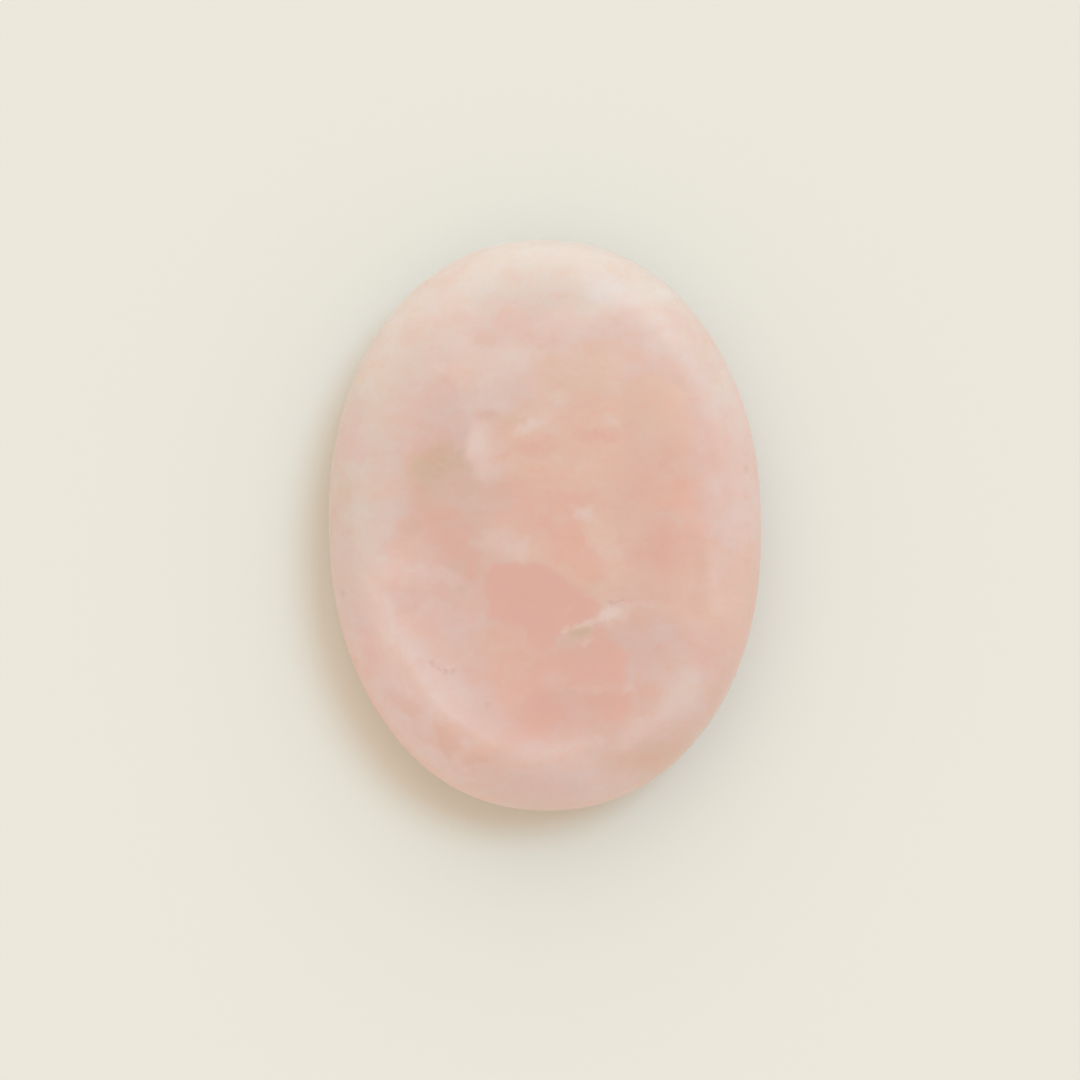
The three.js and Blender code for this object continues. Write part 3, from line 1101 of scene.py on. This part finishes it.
MARKS = [
    # x, y, half width and height, turn, softness, colour, strength
    (3.4, -11.5, 2.1, 1.0, 30, 0.3, HALO, 0.85),
    (4.3, -10.4, 1.2, 0.4, 20, 0.6, CHALK, 0.8),
    (2.1, -11.0, 0.6, 0.3, 50, 0.6, CHALK, 0.6),
    (4.4, -12.3, 0.8, 0.28, 30, 0.6, CHALK, 0.5),
    (3.8, -11.2, 1.1, 0.5, 25, 0.5, DRAB, 0.85),
    (2.6, -12.0, 0.8, 0.4, 40, 0.5, (0.690, 0.495, 0.405), 0.6),
    (6.9, -9.2, 1.1, 0.55, 12, 0.6, (0.790, 0.635, 0.585), 0.75),
    (6.0, -9.7, 0.5, 0.25, 40, 0.6, CHALK, 0.6),
    (7.4, -8.0, 0.9, 0.15, 4, 0.6, DARK_BROWN, 0.4),
    (-11.0, -14.3, 0.5, 0.2, -30, 0.6, CHALK, 0.35),
    (-9.9, -14.8, 0.6, 0.2, 0, 0.6, CHALK, 0.3),
]
for row in MARKS:
    coat = mark(coat, *row)
SLITS = 2  # the first dents are the slits, which have marks of their own above
# the pinholes and the scratch are painted a darker brown
for name, *place_and_size, depth in DENTS[SLITS:]:
    coat = mark(coat, *place_and_size, 0.6, DARK_BROWN, 0.4)
quartz.feed(quartz.shader.inputs["Base Color"], coat)
print("the slit has a chalky rim")

# %% [markdown]
# ## The satin polish
#
# The polish is satin, not glass: highlights are broad. Softer grains polish a little duller, and
# under a loupe the skin has fine grain and hair scratches; the Bump node gives the fine grain.

# %% Gloss and grain of the skin
SATIN = 0.36  # roughness of the glossiest spots
DULLER = 0.06  # and how much more it is where the skin is dullest
SKIN_DEPTH = 0.02  # millimetres, of the fine grain of the skin
SKIN_STRENGTH = 0.12

patches = noise(place, 4.0, 1.0, 83.0)
quartz.feed(quartz.shader.inputs["Roughness"], SATIN + patches * DULLER)

skin_grain = noise(place, 0.5, 2.0, 5.0)
bump = quartz.node(
    "ShaderNodeBump",
    {},
    {"Strength": SKIN_STRENGTH, "Distance": SKIN_DEPTH * MM, "Height": skin_grain},
    "Normal",
)
quartz.feed(quartz.shader.inputs["Normal"], bump)
print("the polish is satin")

# %% [markdown]
# ## The floor
#
# The stone lies on a plain pale surface, a warm white that takes its soft shadow.

# %% A plain pale floor
WARM_WHITE = (0.838, 0.818, 0.75, 1)
MATT = 0.95
FLOOR_HALF = 1.5  # metres

floor_finish = Finish("plain_floor")
floor_finish.feed(floor_finish.shader.inputs["Base Color"], WARM_WHITE)
floor_finish.feed(floor_finish.shader.inputs["Roughness"], MATT)
floor_mesh = bpy.data.meshes.new("floor")
floor_mesh.from_pydata(
    [(x * FLOOR_HALF, y * FLOOR_HALF, 0) for x, y in ((-1, -1), (1, -1), (1, 1), (-1, 1))],
    [],
    [(0, 1, 2, 3)],
)
floor_mesh.materials.append(floor_finish.material)
floor = bpy.data.objects.new("floor", floor_mesh)
bpy.context.scene.collection.objects.link(floor)
print(f"the floor is {2 * FLOOR_HALF:.0f} m across")

# %% [markdown]
# ## The light
#
# The light is soft and comes from the upper right, about 60 degrees up, like a bright window
# behind a sheet. A second, broader light from the top of the picture fills the far rim, and the
# room gives back a warm glow. Sun lamps with a wide angle do this anywhere in the scene.

# %% A broad soft key, a second light and a warm room
SUNS = [
    # name, direction on the floor and height in degrees, strength, softness in degrees, colour
    ("window", 43, 60, 0.95, 23, (0.35, 0.70, 1.0)),
    ("sky", 85, 35, 0.65, 70, (0.9, 0.97, 1.0)),
]
ROOM_GLOW = (1.0, 0.867, 0.713, 1)
ROOM_STRENGTH = 0.795

for name, direction, elevation, strength, softness, colour in SUNS:
    lamp = bpy.data.lights.new(name, "SUN")
    lamp.energy = strength
    lamp.angle = np.radians(softness)
    lamp.color = colour
    direction, elevation = np.radians(direction), np.radians(elevation)
    towards = Vector(
        (
            np.cos(direction) * np.cos(elevation),
            np.sin(direction) * np.cos(elevation),
            np.sin(elevation),
        )
    )
    holder = bpy.data.objects.new(name, lamp)
    holder.rotation_mode = "QUATERNION"
    holder.rotation_quaternion = towards.to_track_quat("Z", "Y")
    bpy.context.scene.collection.objects.link(holder)

room = bpy.data.worlds.new("room")
room.use_nodes = True
glow = room.node_tree.nodes["Background"]
glow.inputs["Color"].default_value = ROOM_GLOW
glow.inputs["Strength"].default_value = ROOM_STRENGTH
bpy.context.scene.world = room
print(f"{len(SUNS)} suns and a warm room")

# %% [markdown]
# ## The camera
#
# The photograph looks straight down. In its 1080 pixels the stone is 571 pixels long and lies a
# little above and to the right of the middle, turned by about a degree. A long lens from a third
# of a metre keeps the girdle's outline as the photograph has it.

# %% Straight above the stone
PICTURE = 1080  # pixels each way
STONE_PIXELS = 571  # the stone's length in the picture
STONE_X, STONE_Y = 545, 525.5  # the stone's middle in the picture, from the top left corner
LENS = 100  # millimetres
SENSOR = 36  # millimetres

pixel = LENGTH * MM / STONE_PIXELS
distance = PICTURE * pixel * LENS / SENSOR
right = (PICTURE / 2 - STONE_X) * pixel
up = (STONE_Y - PICTURE / 2) * pixel
camera_data = bpy.data.cameras.new("camera")
camera_data.lens = LENS
camera_data.sensor_width = SENSOR
camera_data.clip_start = 0.01
camera = bpy.data.objects.new("camera", camera_data)
camera.location = (
    right * np.cos(TILT) + up * np.sin(TILT),
    up * np.cos(TILT) - right * np.sin(TILT),
    GIRDLE_HEIGHT * MM + distance,
)
camera.rotation_euler = (0, 0, -TILT)
bpy.context.scene.collection.objects.link(camera)
bpy.context.scene.camera = camera
bpy.context.scene.view_settings.view_transform = "Standard"
print(f"the camera is {distance * 1000:.0f} mm above the girdle")
